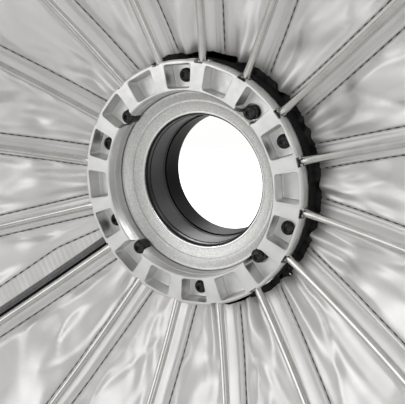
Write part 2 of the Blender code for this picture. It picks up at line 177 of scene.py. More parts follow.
# ---------------------------------------------------------------- mesh helpers
def mesh_from(builder, name, *arguments, sharp=38):
    """A mesh that a builder function fills, shaded smooth but for edges sharper than an angle."""
    work = bmesh.new()
    builder(work, *arguments)
    bmesh.ops.recalc_face_normals(work, faces=work.faces)
    mesh = bpy.data.meshes.new(name)
    work.to_mesh(mesh)
    work.free()
    mesh.shade_smooth()
    mesh.set_sharp_from_angle(angle=math.radians(sharp))
    return mesh


def rounded(outline, fillet, steps=3):
    """A closed outline with its corners rounded; a corner may state its own fillet as a third value."""
    points = [Vector(corner[:2]) for corner in outline]
    result = []
    for i, point in enumerate(points):
        back = points[i - 1] - point
        ahead = points[(i + 1) % len(points)] - point
        radius = outline[i][2] if len(outline[i]) > 2 else fillet
        half = back.angle(ahead) / 2
        reach = min(radius / math.tan(half), 0.45 * back.length, 0.45 * ahead.length)
        if reach < 0.02 * MM:
            result.append(point)
            continue
        start = point + back.normalized() * reach
        end = point + ahead.normalized() * reach
        for step in range(steps + 1):
            share = step / steps
            result.append(start.lerp(point, share).lerp(point.lerp(end, share), share))
    return result


def add_turned(work, profile, steps=TURN_STEPS):
    """Turn a closed outline of (radius, depth) points about the axis."""
    corners = [work.verts.new((point[0], 0.0, point[1])) for point in profile]
    edges = [work.edges.new((corners[i - 1], corners[i])) for i in range(len(corners))]
    bmesh.ops.spin(work, geom=corners + edges, cent=(0, 0, 0), axis=(0, 0, 1),
                   angle=math.tau, steps=steps, use_merge=True)
    bmesh.ops.remove_doubles(work, verts=work.verts, dist=0.001 * MM)


def add_lathed(work, profile, steps):
    """Turn an open outline whose two ends lie on the axis, so that the shape is solid."""
    corners = [work.verts.new((point[0], 0.0, point[1])) for point in profile]
    edges = [work.edges.new(pair) for pair in zip(corners, corners[1:])]
    bmesh.ops.spin(work, geom=corners + edges, cent=(0, 0, 0), axis=(0, 0, 1), angle=math.tau, steps=steps)
    bmesh.ops.remove_doubles(work, verts=work.verts, dist=0.001 * MM)


def add_box(work, low, high, placement=Matrix()):
    size = Vector(high) - Vector(low)
    middle = (Vector(high) + Vector(low)) / 2
    scale = Matrix.Diagonal((*size, 1.0))
    bmesh.ops.create_cube(work, size=1.0, matrix=placement @ Matrix.Translation(middle) @ scale)


def add_tube(work, rings, closed=False):
    """Skin a list of rings of points; an open run of rings is capped at both ends."""
    rows = [[work.verts.new(point) for point in ring] for ring in rings]
    pairs = list(zip(rows, rows[1:] + rows[:1])) if closed else list(zip(rows, rows[1:]))
    for near, far in pairs:
        for i in range(len(near)):
            work.faces.new((near[i - 1], near[i], far[i], far[i - 1]))
    if not closed:
        work.faces.new(rows[0])
        work.faces.new(rows[-1])


def show(name, mesh, finishes, body, placement=AXIS, replaced=()):
    """Put a piece in the scene, on a CAD body if one is given."""
    made = bpy.data.objects.new(name, mesh)
    bpy.context.scene.collection.objects.link(made)
    made.matrix_world = placement
    if None in mesh.materials[:]:
        mesh.materials.clear()              # the empty slot that a boolean result carries
    if not mesh.materials:
        for finish in finishes:
            mesh.materials.append(finish)
    if body:
        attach(made, body)
    if replaced:
        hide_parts(*replaced)
    return made


def combine(mesh, others, operation, sharp=38):
    """Cut other meshes from a mesh, or join them to it."""
    base = bpy.data.objects.new("base", mesh)
    tools = [bpy.data.objects.new("tool", other) for other in others]
    for item in [base, *tools]:
        bpy.context.scene.collection.objects.link(item)
    for tool in tools:
        modifier = base.modifiers.new("combine", "BOOLEAN")
        modifier.object = tool
        modifier.operation = operation
        modifier.solver = "MANIFOLD"
    evaluated = base.evaluated_get(bpy.context.evaluated_depsgraph_get())
    made = bpy.data.meshes.new_from_object(evaluated)
    for item in [base, *tools]:
        bpy.data.objects.remove(item)
    made.shade_smooth()
    made.set_sharp_from_angle(angle=math.radians(sharp))
    return made


# ---------------------------------------------------------------- materials
class Finish:
    """A node material: its Principled shader and short ways to feed it."""

    def __init__(self, name, color, roughness, metallic):
        self.material = bpy.data.materials.new(name)
        self.material.use_nodes = True
        self.tree = self.material.node_tree
        self.shader = self.tree.nodes["Principled BSDF"]
        self.shader.inputs["Metallic"].default_value = metallic
        self.shader.inputs["Roughness"].default_value = roughness
        self.shader.inputs["Base Color"].default_value = (*color, 1)
        self.place = self.node("ShaderNodeTexCoord").outputs["Object"]
        self.relief = None

    def node(self, kind, **inputs):
        made = self.tree.nodes.new(kind)
        for name, value in inputs.items():
            self.feed(made.inputs[name.replace("_", " ")], value)
        return made

    def feed(self, socket, value):
        if isinstance(value, bpy.types.NodeSocket):
            self.tree.links.new(value, socket)
        else:
            socket.default_value = value

    def noise(self, scale, detail=2.0, place=None):
        made = self.node("ShaderNodeTexNoise", Scale=scale, Detail=detail)
        self.feed(made.inputs["Vector"], place or self.place)
        return made.outputs["Fac"]

    def stretched(self, x, y, z):
        made = self.node("ShaderNodeMapping", Vector=self.place)
        made.inputs["Scale"].default_value = (x, y, z)
        return made.outputs["Vector"]

    def math(self, operation, first, second=0.0):
        made = self.tree.nodes.new("ShaderNodeMath")
        made.operation = operation
        self.feed(made.inputs[0], first)
        self.feed(made.inputs[1], second)
        return made.outputs[0]

    def spread(self, value, low, high):
        """Map a 0 to 1 value, such as noise, to a range."""
        made = self.node("ShaderNodeMapRange", Value=value)
        made.inputs["From Min"].default_value = 0.3
        made.inputs["From Max"].default_value = 0.7
        made.inputs["To Min"].default_value = low
        made.inputs["To Max"].default_value = high
        return made.outputs["Result"]

    def tint(self, value, dark, light):
        made = self.tree.nodes.new("ShaderNodeMix")
        made.data_type = "RGBA"
        self.feed(made.inputs["Factor"], value)
        made.inputs["A"].default_value = (*dark, 1)
        made.inputs["B"].default_value = (*light, 1)
        self.feed(self.shader.inputs["Base Color"], made.outputs["Result"])

    def rough(self, value, low, high):
        self.feed(self.shader.inputs["Roughness"], self.spread(value, low, high))

    def bump(self, height, distance, strength=1.0):
        """Add relief of a given depth on top of what is there."""
        made = self.node("ShaderNodeBump", Height=height, Strength=strength, Distance=distance)
        if self.relief:
            self.feed(made.inputs["Normal"], self.relief)
        self.relief = made.outputs["Normal"]
        self.feed(self.shader.inputs["Normal"], self.relief)

    def radius(self):
        """Distance from the local Z axis, for turning marks."""
        parts = self.node("ShaderNodeSeparateXYZ", Vector=self.place)
        squares = [self.math("MULTIPLY", parts.outputs[i], parts.outputs[i]) for i in (0, 1)]
        return self.math("SQRT", self.math("ADD", squares[0], squares[1]))


def machined_aluminium():
    """Fine circular tool marks, a little dust in the roughness."""
    made = Finish("machined_aluminium", (0.76, 0.76, 0.75), 0.34, 1.0)
    rings = made.node("ShaderNodeCombineXYZ", X=made.radius())
    marks = made.noise(2600, 1.0, rings.outputs["Vector"])
    blotches = made.noise(60, 4.0)
    made.tint(made.spread(blotches, 0, 1), (0.76, 0.76, 0.75), (0.86, 0.86, 0.85))
    made.rough(made.noise(220, 3.0), 0.34, 0.48)
    made.bump(marks, 0.02 * MM, 0.5)
    made.bump(made.noise(1500, 2.0), 0.015 * MM, 0.4)
    return made.material


def cast_aluminium():
    """Sand-cast skin, coarse at the lip and wiped smoother towards the shoulder."""
    made = Finish("cast_aluminium", (0.74, 0.74, 0.73), 0.42, 1.0)
    grain = made.noise(1100, 3.0)
    near_lip = made.node("ShaderNodeMapRange", Value=made.radius())
    ends = (("From Min", 53 * MM), ("From Max", 61 * MM), ("To Min", 0.9), ("To Max", 0.15))
    for socket, value in ends:
        near_lip.inputs[socket].default_value = value
    made.tint(made.spread(made.noise(700, 2.0), 0, 1), (0.66, 0.66, 0.65), (0.84, 0.84, 0.82))
    made.rough(grain, 0.34, 0.5)
    made.bump(grain, 0.16 * MM, near_lip.outputs["Result"])
    made.bump(made.noise(260, 2.0), 0.08 * MM, 0.3)
    return made.material


def polished_edge():
    made = Finish("polished_edge", (0.88, 0.88, 0.87), 0.16, 1.0)
    made.rough(made.noise(800, 2.0), 0.12, 0.24)
    return made.material


def rod_steel():
    """Ground bar: marks run along the rod."""
    made = Finish("rod_steel", (0.74, 0.74, 0.72), 0.28, 1.0)
    made.tint(made.spread(made.noise(60, 3.0), 0, 1), (0.64, 0.63, 0.61), (0.74, 0.74, 0.72))
    made.rough(made.noise(300, 2.0, made.stretched(0.1, 1, 0.1)), 0.16, 0.24)
    made.bump(made.noise(900, 1.0, made.stretched(0.03, 1, 0.03)), 0.0015 * MM, 0.3)
    return made.material


def black_oxide():
    made = Finish("black_oxide", (0.04, 0.04, 0.04), 0.3, 0.6)
    made.rough(made.noise(900, 3.0), 0.2, 0.34)
    made.bump(made.noise(1800, 2.0), 0.01 * MM, 0.4)
    return made.material


def black_anodised():
    made = Finish("black_anodised", (0.015, 0.015, 0.015), 0.38, 0.5)
    made.rough(made.noise(500, 3.0), 0.32, 0.45)
    made.bump(made.noise(2200, 1.0), 0.01 * MM, 0.3)
    return made.material


def moulded_plastic(name, color, specular):
    """Spark-eroded moulding texture."""
    made = Finish(name, color, 0.5, 0.0)
    made.shader.inputs["Specular IOR Level"].default_value = specular
    grain = made.noise(2600, 2.0)
    lighter = tuple(1.25 * channel for channel in color)
    made.tint(made.spread(made.noise(400, 2.0), 0, 1), color, lighter)
    made.rough(grain, 0.42, 0.58)
    made.bump(grain, 0.03 * MM, 0.5)
    return made.material


WAVE_BANDS = 20 / math.tau          # bands in a metre of the wave texture at a scale of 1


def woven(made, thread, depth):
    """Relief of a plain weave: two crossing sets of threads."""
    for bands in ("X", "Y"):
        wave = made.node("ShaderNodeTexWave", Scale=1.0 / (thread * WAVE_BANDS), Vector=made.place)
        wave.wave_type = "BANDS"
        wave.bands_direction = bands
        wave.inputs["Distortion"].default_value = 0.6
        made.bump(wave.outputs["Fac"], depth, 0.3)


def silver_lining():
    """Metal-coated nylon: a soft sheen that is rubbed duller in patches."""
    made = Finish("silver_lining", (0.86, 0.855, 0.845), 0.42, 0.85)
    made.tint(made.spread(made.noise(9, 3.0), 0, 1), (0.84, 0.83, 0.82), (0.92, 0.915, 0.91))
    made.rough(made.noise(35, 3.0), 0.38, 0.48)
    woven(made, 1.6 * MM, 0.004 * MM)
    made.bump(made.noise(90, 2.0), 0.12 * MM, 0.25)
    return made.material


def black_nylon():
    """Coated outer cloth with a faint weave."""
    made = Finish("black_nylon", (0.012, 0.012, 0.013), 0.6, 0.0)
    made.shader.inputs["Specular IOR Level"].default_value = 0.25
    made.tint(made.spread(made.noise(20, 4.0), 0, 1), (0.009, 0.009, 0.01), (0.018, 0.018, 0.019))
    made.rough(made.noise(120, 3.0), 0.45, 0.62)
    woven(made, 2.5 * MM, 0.02 * MM)
    made.bump(made.noise(60, 2.0), 0.2 * MM, 0.3)
    return made.material


def webbing():
    """Heavier black tape for hems and pockets."""
    made = Finish("webbing", (0.01, 0.01, 0.01), 0.75, 0.0)
    made.shader.inputs["Specular IOR Level"].default_value = 0.2
    made.tint(made.spread(made.noise(300, 2.0), 0, 1), (0.006, 0.006, 0.006), (0.016, 0.016, 0.016))
    woven(made, 2 * MM, 0.08 * MM)
    return made.material


def hook_tape():
    """Rows of tiny hooks."""
    made = Finish("hook_tape", (0.2, 0.2, 0.205), 0.6, 0.0)
    cells = made.node("ShaderNodeTexVoronoi", Scale=900, Vector=made.place)
    made.tint(made.spread(made.noise(500, 2.0), 0, 1), (0.16, 0.16, 0.165), (0.25, 0.25, 0.255))
    made.bump(cells.outputs["Distance"], 0.25 * MM, 0.6)
    return made.material


def thread():
    """Dark thread that shows as a row of stitches along the seam."""
    made = Finish("thread", (0.05, 0.05, 0.05), 0.6, 0.0)
    turned_place = made.node("ShaderNodeMapping", Vector=made.place)
    turned_place.inputs["Rotation"].default_value = (0, math.radians(45), 0)
    stitch = 2.6 * MM
    wave = made.node("ShaderNodeTexWave", Scale=1.0 / (stitch * WAVE_BANDS),
                     Vector=turned_place.outputs["Vector"])
    wave.wave_type = "BANDS"
    wave.bands_direction = "X"
    made.tint(made.spread(wave.outputs["Fac"], 0, 1), (0.07, 0.067, 0.064), (0.42, 0.41, 0.4))
    made.bump(made.noise(1500, 1.0), 0.05 * MM)
    return made.material


ALUMINIUM = machined_aluminium()
CAST = cast_aluminium()
EDGE = polished_edge()
STEEL = rod_steel()
SCREW = black_oxide()
ANODISED = black_anodised()
GREY_PLASTIC = moulded_plastic("dark_grey_plastic", (0.045, 0.045, 0.047), 0.35)
BLACK_PLASTIC = moulded_plastic("black_plastic", (0.004, 0.004, 0.004), 0.08)
LINING = silver_lining()
NYLON = black_nylon()
WEBBING = webbing()
HOOKS = hook_tape()
THREAD = thread()


# ---------------------------------------------------------------- speedring
def pocket_outline(grow):
    """The pocket's rounded wedge, grown by a distance all round: +X outward, +Y clockwise."""
    inner, outer = POCKET_INNER - grow, POCKET_OUTER + grow
    side = grow / math.cos(POCKET_HALF_ANGLE)
    corners = []
    for radius, sign in ((inner, -1), (outer, -1), (outer, 1), (inner, 1)):
        corners.append((radius, sign * (radius * math.tan(POCKET_HALF_ANGLE) + side), POCKET_CORNER + grow))
    return rounded(corners, 0, steps=6)


def add_pockets(work):
    """Cutters with a broken edge at the face and a filleted floor."""
    edge_break = 0.35 * MM
    fillet = 1.0 * MM
    levels = [(-MM, MM + edge_break), (edge_break, 0)]
    for step in range(5):
        turn = math.pi / 2 * step / 4
        levels.append((POCKET_DEPTH - fillet * (1 - math.sin(turn)), -fillet * (1 - math.cos(turn))))
    for index in range(ROD_COUNT):
        placement = radial_frame(pocket_azimuth(index))
        add_tube(work, [[placement @ Vector((*point, depth)) for point in pocket_outline(grow)]
                        for depth, grow in levels])


def add_seats(work):
    """Round seats for the screw heads, with a hole behind each."""
    hole = SHANK_RADIUS + 0.4 * MM
    behind = CASTING_DEPTH + MM
    for index, circle, floor in screw_sites():
        flare = (SEAT_RADIUS + 1.3 * MM, -MM), (SEAT_RADIUS, 0.3 * MM)
        if floor == RETAINING_SEAT:         # a wide countersink, so that the whole head shows
            wide = SEAT_RADIUS + 2.2 * MM
            flare = (wide + 0.4 * MM, -MM), (wide, 0.4 * MM), (SEAT_RADIUS, 5.5 * MM)
        profile = [(0, -MM), *flare, (SEAT_RADIUS, floor), (hole, floor), (hole, behind), (0, behind)]
        seat = mesh_from(add_lathed, "seat", profile, 48)
        seat.transform(screw_frame(index, circle))
        work.from_mesh(seat)
        bpy.data.meshes.remove(seat)


def add_rim_boxes(work, boxes):
    """Boxes given by their lowest and highest corners in a rod's radial frame, repeated at every rod."""
    for index in range(ROD_COUNT):
        placement = radial_frame(rod_azimuth(index))
        for low, high in boxes:
            add_box(work, low, high, placement)


def make_speedring():
    """The turned casting, with pockets, screw seats, rod slots and hinge grooves cut out."""
    profile = rounded([
        (FACE_RADIUS, 0, 0.15 * MM), (RIM_RADIUS, RIM_RADIUS - FACE_RADIUS, 0.2 * MM),
        (RIM_RADIUS, CASTING_DEPTH), (RING_BORE - 0.3 * MM, CASTING_DEPTH),
        (RING_BORE - 0.3 * MM, BORE_STEP), (RING_BORE, BORE_STEP),
        (RING_BORE, 0.8 * MM), (RING_BORE + 0.8 * MM, 0, 0.3 * MM),
    ], 0.1 * MM)
    blank = mesh_from(add_turned, "speedring", profile)
    past, behind, half = 94 * MM, CASTING_DEPTH + MM, SLOT_HALF_WIDTH
    slot = [((SLOT_FLOOR, -half, LIP_THICKNESS), (past, half, behind))]
    nick_half = ROD_RADIUS + 0.3 * MM
    nick = [((LIP_RADIUS, -nick_half, -MM), (past + MM, nick_half, 2 * LIP_THICKNESS))]
    room = PIN_RADIUS + 0.3 * MM
    groove_half = PIN_HALF_LENGTH + 0.4 * MM
    groove = [((HINGE_RADIUS - room, -groove_half, HINGE_DEPTH - room),
               (HINGE_RADIUS + room, groove_half, behind + MM))]
    cutters = [mesh_from(add_pockets, "pockets"), mesh_from(add_seats, "seats")]
    cutters += [mesh_from(add_rim_boxes, "boxes", boxes) for boxes in (slot, groove, nick)]
    mesh = combine(blank, cutters, "DIFFERENCE", sharp=30)
    show("speedring_casting", mesh, [ALUMINIUM], "speedring", replaced=["speedring_front"])


def button_screw(seat_depth, collar):
    """Button head with a hexagon socket and a plain shank; a collar may lift the head off its seat."""
    shank = CASTING_DEPTH + 5.5 * MM - seat_depth
    head = []
    first = math.radians(18)
    for step in range(9):
        turn = first + (math.pi / 2 - first) * step / 8
        rise = HEAD_HEIGHT * math.cos(turn) / math.cos(first)
        head.append((HEAD_RADIUS * math.sin(turn), -collar - rise))
    rim, groove_floor = HEAD_RADIUS - 0.1 * MM, HEAD_RADIUS - 0.5 * MM
    underside = [(rim, 0.25 * MM)]
    if collar:                              # a groove parts the head from the collar
        underside = [(rim, 0.25 * MM - collar), (groove_floor, 0.4 * MM - collar),
                     (groove_floor, 0.6 * MM - collar), (rim, 0.8 * MM - collar), (rim, 0)]
    stem = [(SHANK_RADIUS, 0.3 * MM), (SHANK_RADIUS, shank), (0, shank)]
    body = mesh_from(add_lathed, "button_screw", [(0, head[0][1])] + head + underside + stem, 48)
    top = -HEAD_HEIGHT - collar
    socket = [(0, top - MM), (SOCKET_RADIUS, top - MM), (SOCKET_RADIUS, top + SOCKET_DEPTH),
              (0, top + SOCKET_DEPTH + 0.8 * MM)]
    return combine(body, [mesh_from(add_lathed, "socket", socket, 6)], "DIFFERENCE", sharp=32)


def make_screws():
    """Clamp screws and retaining screws, each turned by chance as a screw is when it is tight."""
    meshes = {CLAMP_SEAT: button_screw(CLAMP_SEAT, 0),
              RETAINING_SEAT: button_screw(RETAINING_SEAT, RETAINING_SEAT - RETAINING_HEAD)}
    names = [f"clamp_screw_{i + 1}" for i in range(len(CLAMP_POCKETS))]
    names += [f"retaining_screw_{i + 1}" for i in range(len(RETAINING_POCKETS))]
    turns = random.Random(5)
    for name, (index, circle, depth) in zip(names, screw_sites()):
        turn = Matrix.Rotation(turns.uniform(0, math.tau), 4, "Z")
        place = AXIS @ screw_frame(index, circle, depth - 0.35 * MM) @ turn
        show(f"{name}_fine", meshes[depth], [SCREW], "speedring", place, [name])


# ---------------------------------------------------------------- adapter
def make_adapter():
    """The cast cup, its polished lip and the parts in its bore."""
    funnel = []
    for step in range(9):
        along = step / 8
        point = LIP_EDGE.lerp(SHOULDER, along)
        funnel.append((point.x, point.y + FUNNEL_SAG * math.sin(math.pi * along)))
    chamfer = 0.8 * MM
    outline = [
        (FLANGE_RADIUS, FLANGE_FRONT), (FLANGE_RADIUS, FLANGE_BACK),
        (NECK_RADIUS, FLANGE_BACK), (NECK_RADIUS, NECK_BACK), (TUBE_RADIUS, TUBE_FRONT),
        (TUBE_RADIUS, MOUNT_FLANGE_FRONT, MM), (MOUNT_FLANGE_RADIUS, MOUNT_FLANGE_FRONT),
        (MOUNT_FLANGE_RADIUS, FACE_TO_MOUNT, chamfer), (BORE_RADIUS, FACE_TO_MOUNT, chamfer),
        (BORE_RADIUS, BORE_FRONT), (BORE_RADIUS + 0.5 * MM, 23.6 * MM),
    ]
    mesh = mesh_from(add_turned, "adapter_cup", rounded(outline + funnel, 0.3 * MM))
    show("adapter_casting", mesh, [CAST], "adapter", replaced=["adapter_cup"])
    lip_outline = rounded([(52.9 * MM, 23.15 * MM), (53.1 * MM, 24.6 * MM), (51.2 * MM, 24.75 * MM),
                           (51.5 * MM, 23.35 * MM)], 0.35 * MM)
    show("adapter_lip", mesh_from(add_turned, "adapter_lip", lip_outline), [EDGE], "adapter")
    outer = BORE_RADIUS - 0.25 * MM
    ring = [(outer, 25.0 * MM), (outer, 29.7 * MM), (49.9 * MM, 29.7 * MM), (49.9 * MM, 26.2 * MM),
            (50.3 * MM, 25.0 * MM)]
    front = [(outer, 30 * MM), (outer, 51.9 * MM), (49.4 * MM, 51.9 * MM), (49.4 * MM, 49.6 * MM),
             (49.7 * MM, 49.2 * MM), (49.7 * MM, 32.4 * MM), (49.5 * MM, 32.2 * MM), (49.5 * MM, 30 * MM)]
    rear = [(outer, 52.2 * MM), (outer, 70.7 * MM), (47.7 * MM, 70.7 * MM), (48.9 * MM, 54.6 * MM),
            (48.5 * MM, 54.2 * MM), (48.5 * MM, 52.2 * MM)]
    sleeves = (("bore_trim_ring", ring, ANODISED, "black_anodised"),
               ("bore_sleeve_front", front, GREY_PLASTIC, "dark_grey_plastic"),
               ("bore_sleeve_rear", rear, BLACK_PLASTIC, "black_plastic"))
    for name, outline, finish, slot in sleeves:
        mesh = mesh_from(add_turned, name, rounded(outline, 0.2 * MM))
        show(f"{name}_fine", mesh, [finish], "adapter", replaced=[name])


# ---------------------------------------------------------------- rods, in a rod's hinge frame
def rod_turn(along):
    """The rod's direction there, measured from the axis towards the mouth."""
    return ROD_SPLAY - ROD_BEND * along


def rod_line(along):
    """Distance outward and depth of the rod's centre line, from the hinge pin at 0."""
    out = (np.cos(rod_turn(along)) - math.cos(ROD_SPLAY)) / ROD_BEND
    forward = (math.sin(ROD_SPLAY) - np.sin(rod_turn(along))) / ROD_BEND
    return out, -forward


def rod_ring(along, radius, sides):
    """A circle of points square to the rod."""
    out, depth = rod_line(along)
    behind = Vector((math.cos(rod_turn(along)), 0, math.sin(rod_turn(along))))
    centre = Vector((out, 0, depth))
    turns = [math.tau * i / sides for i in range(sides)]
    return [centre + radius * (behind * math.cos(turn) + Vector((0, math.sin(turn), 0))) for turn in turns]


def add_rod(work):
    sides, stations = 24, 72
    rings = [rod_ring(ROD_LENGTH * i / stations, ROD_RADIUS, sides) for i in range(stations)]
    nose = 1.2 * MM
    for step in range(1, 4):
        turn = math.pi / 2 * step / 4
        rings.append(rod_ring(ROD_LENGTH - nose * (1 - math.sin(turn)),
                              ROD_RADIUS - nose * (1 - math.cos(turn)), sides))
    add_tube(work, rings)


def add_cross_turned(work, profile, steps):
    add_lathed(work, profile, steps)
    bmesh.ops.rotate(work, verts=work.verts, matrix=Matrix.Rotation(math.pi / 2, 3, "X"))


def make_rods():
    """Every rod with its knuckle, its hinge pin and the cap on its end."""
    half, edge = KNUCKLE_HALF_WIDTH, 0.4 * MM
    knuckle = [(0, -half), (KNUCKLE_RADIUS - edge, -half), (KNUCKLE_RADIUS, edge - half),
               (KNUCKLE_RADIUS, half - edge), (KNUCKLE_RADIUS - edge, half), (0, half)]
    rod = combine(mesh_from(add_rod, "rod"), [mesh_from(add_cross_turned, "knuckle", knuckle, 32)], "UNION")
    end, dome = PIN_HALF_LENGTH, 0.5 * MM
    pin_outline = [(0, -end), (0.6 * PIN_RADIUS, -end), (PIN_RADIUS, dome - end), (PIN_RADIUS, end - dome),
                   (0.6 * PIN_RADIUS, end), (0, end)]
    pin = mesh_from(add_cross_turned, "pin", pin_outline, 24)
    cap = mesh_from(add_cap, "cap")
    for index in range(ROD_COUNT):
        number, place = f"{index + 1:02d}", hinge_frame(index)
        show(f"rod_{number}_fine", rod, [STEEL], f"rib_{number}", place, [f"rod_{number}"])
        show(f"hinge_pin_{number}", pin, [EDGE], f"rib_{number}", place)
        show(f"rod_cap_{number}", cap, [BLACK_PLASTIC], f"rib_{number}", place)


def add_cap(work):
    """A black sleeve pushed over the rod's end."""
    length, radius, sides = 16 * MM, ROD_RADIUS + 0.7 * MM, 20
    rings = [rod_ring(ROD_LENGTH - length, ROD_RADIUS + 0.2 * MM, sides),
             rod_ring(ROD_LENGTH - length + 0.5 * MM, radius, sides)]
    dome = 1.5 * MM
    for step in range(5):
        turn = math.pi / 2 * step / 4
        rings.append(rod_ring(ROD_LENGTH + dome * math.sin(turn),
                              radius - dome * (1 - math.cos(turn)), sides))
    add_tube(work, rings)


# ---------------------------------------------------------------- canopy, in a rod's hinge frame
def fold(run, across, lean, length, breadth, bow):
    """A soft ridge of height 1: lean turns it from the rod's direction, bow bends it."""
    forward = run * math.cos(lean) + across * math.sin(lean)
    aside = across * math.cos(lean) - run * math.sin(lean) + bow * forward * forward / length
    return np.exp(-(forward / length) ** 2 - (aside / breadth) ** 2)


def panel_relief(panel, along, offset, width):
    """Height of one panel's creases above its flat surface, towards the bowl's inside.

    along is the distance up the rod, and offset the distance from the panel's first rod towards its second.
    """
    chance = random.Random(100 + panel)
    share = offset / width
    quiet = QUIET_ZONE if panel == CLOSURE_RIB else STITCH_OFFSET
    edge = np.clip(np.minimum(offset - quiet, width - offset - STITCH_OFFSET) / (9 * MM), 0, 1)
    edge = edge * edge * (3 - 2 * edge)
    height = -4 * MM * np.sin(np.pi * share) * np.clip(along / 0.15, 0, 1)
    for _ in range(3):                      # gathers where the cloth is drawn in to the ring
        count = chance.uniform(1.0, 3.0)
        phase = chance.uniform(0, math.tau)
        reach = chance.uniform(25, 60) * MM
        height = height + 2.1 * MM * np.exp(-along / reach) * np.sin(math.tau * count * share + phase)
    for zone, folds in ((0.0, 4), (0.13, 4), (0.3, 4), (0.48, 4)):      # drag lines, long and soft
        for _ in range(folds):
            place = zone + chance.uniform(0.02, 0.2), chance.uniform(0.1, 0.9)
            lean = chance.choice((-1, 1)) * chance.uniform(0.15, 1.35)
            length = chance.uniform(50, 120) * MM
            breadth = chance.uniform(8, 17) * MM * (1 + zone)
            tall = chance.choice((-1, 1)) * chance.uniform(0.14, 0.28) * breadth
            bow = chance.uniform(-0.2, 0.3)
            height = height + tall * fold(along - place[0], (share - place[1]) * width, lean, length,
                                          breadth, bow)
    for _ in range(8):                      # sharper creases that start at the ring
        place = chance.uniform(0.0, 0.1), chance.uniform(0.15, 0.85)
        height = height + chance.choice((-1, 1)) * 1.0 * MM * fold(
            along - place[0], (share - place[1]) * width, chance.uniform(-0.5, 0.5),
            chance.uniform(20, 45) * MM, chance.uniform(3, 5) * MM, chance.uniform(-0.3, 0.3))
    for _ in range(6):                      # small unevenness
        length = chance.uniform(22, 80) * MM
        lean = chance.uniform(0, math.pi)
        phase = chance.uniform(0, math.tau)
        wave = (along * math.cos(lean) + offset * math.sin(lean)) / length
        height = height + 0.006 * length * np.sin(math.tau * wave + phase)
    return height * edge + pucker(panel, along, offset, 1) + pucker(panel, along, width - offset, 2)


def pucker(panel, along, distance, side):
    """Short ripples beside a seam, where the stitching draws the cloth up."""
    chance = random.Random(1000 * side + panel)
    beyond = distance - STITCH_OFFSET
    beside = np.clip(beyond / (2 * MM), 0, 1) * np.exp(-np.abs(beyond) / (9 * MM))
    ripples = 0
    for _ in range(3):
        length = chance.uniform(20, 40) * MM
        lean = chance.uniform(-0.6, 0.6)
        phase = chance.uniform(0, math.tau)
        ripples = ripples + np.sin(math.tau * (along + lean * distance) / length + phase)
    patches = np.clip(np.sin(along / (40 * MM) + chance.uniform(0, math.tau)) + 0.4, 0, 1)
    return 0.5 * MM * beside * ripples * patches * np.exp(-along / 0.4)


def seam_relief(along, across):
    """The flat sleeve sewn behind the rod, and the pinch of its stitching."""
    raised = 1.5 * MM * np.sqrt(np.clip(1 - (across / SLEEVE_HALF_WIDTH) ** 4, 0, 1))
    stitch = 0.7 * MM * np.exp(-((np.abs(across) - STITCH_OFFSET) / (0.8 * MM)) ** 2)
    wander = 0.3 * MM * np.sin(along / (9 * MM)) * np.exp(-(across / (12 * MM)) ** 2)
    slack = 0.6 + 0.4 * np.sin(along / (31 * MM) + 1.7)
    crease = 0.9 * MM * slack * np.exp(-((np.abs(across) - 5.4 * MM) / (1.3 * MM)) ** 2)
    return raised - stitch - crease + wander


def half_width(along):
    """Distance from the rod's plane to the middle of the panel beside it."""
    out, _ = rod_line(along)
    standoff = STANDOFF_ROOT + (STANDOFF_TIP - STANDOFF_ROOT) * along / FABRIC_END
    radius = HINGE_RADIUS + out + np.cos(rod_turn(along)) * standoff
    return radius * math.sin(PITCH / 2) * math.cos(PITCH / 2)


def cloth(rib, along, across, lift=0.0):
    """Points of the lining in a rib's hinge frame, for arrays of distances along and across the rod."""
    turn = rod_turn(along)
    out, depth = rod_line(along)
    standoff = STANDOFF_ROOT + (STANDOFF_TIP - STANDOFF_ROOT) * along / FABRIC_END
    slope = math.tan(PITCH / 2)
    flat = [out + np.cos(turn) * standoff - np.abs(across) * slope, across, depth + np.sin(turn) * standoff]
    width = 2 * half_width(along)
    after = panel_relief(rib, along, across, width)
    before = panel_relief((rib - 1) % ROD_COUNT, along, width + across, width)
    height = np.where(across >= 0, after, before) + (lift(along) if callable(lift) else lift)
    side = np.where(across >= 0, 1.0, -1.0) * math.sin(PITCH / 2)
    lean = math.cos(PITCH / 2)
    raised = seam_relief(along, across)
    return np.stack([
        flat[0] - np.cos(turn) * (lean * height + raised),
        flat[1] - np.cos(turn) * side * height,
        flat[2] - np.sin(turn) * (height + raised),
    ], axis=-1)


def gore_stations():
    """Rows up the rod, close together where the cloth is gathered to the ring."""
    near = np.arange(FABRIC_START, 0.2, 4 * MM)
    far = np.linspace(0.2, FABRIC_END, 64)
    return np.concatenate([near, far])


def gore_columns(along):
    """Distances across the gore for every row, close together at the seam tunnel."""
    seam = np.array([0, 2.0, 3.4, 4.6, 5.4, 6.2, 7.2, 8.0, 8.4, 8.8, 9.4, 10.6]) * MM
    shares = np.linspace(0, 1, 15)[1:]
    half = half_width(along)[:, None]
    panel = seam[-1] + (half - seam[-1]) * shares
    side = np.concatenate([np.repeat(seam[None, :], len(along), 0), panel], axis=1)
    return np.concatenate([-side[:, :0:-1], side], axis=1)


def surface_normals(rib, along, across, lift):
    """Unit normals that face away from the bowl, the same on both sides of a gore's edge."""
    step = 0.4 * MM
    by_along = cloth(rib, along + step, across, lift) - cloth(rib, along - step, across, lift)
    by_across = cloth(rib, along, across + step, lift) - cloth(rib, along, across - step, lift)
    normals = np.cross(by_across, by_along)
    normals /= np.linalg.norm(normals, axis=-1, keepdims=True)
    behind = np.stack([np.cos(rod_turn(along)), 0 * along, np.sin(rod_turn(along))], axis=-1)
    facing = np.sign(np.sum(normals * behind, axis=-1, keepdims=True))
    return normals * facing


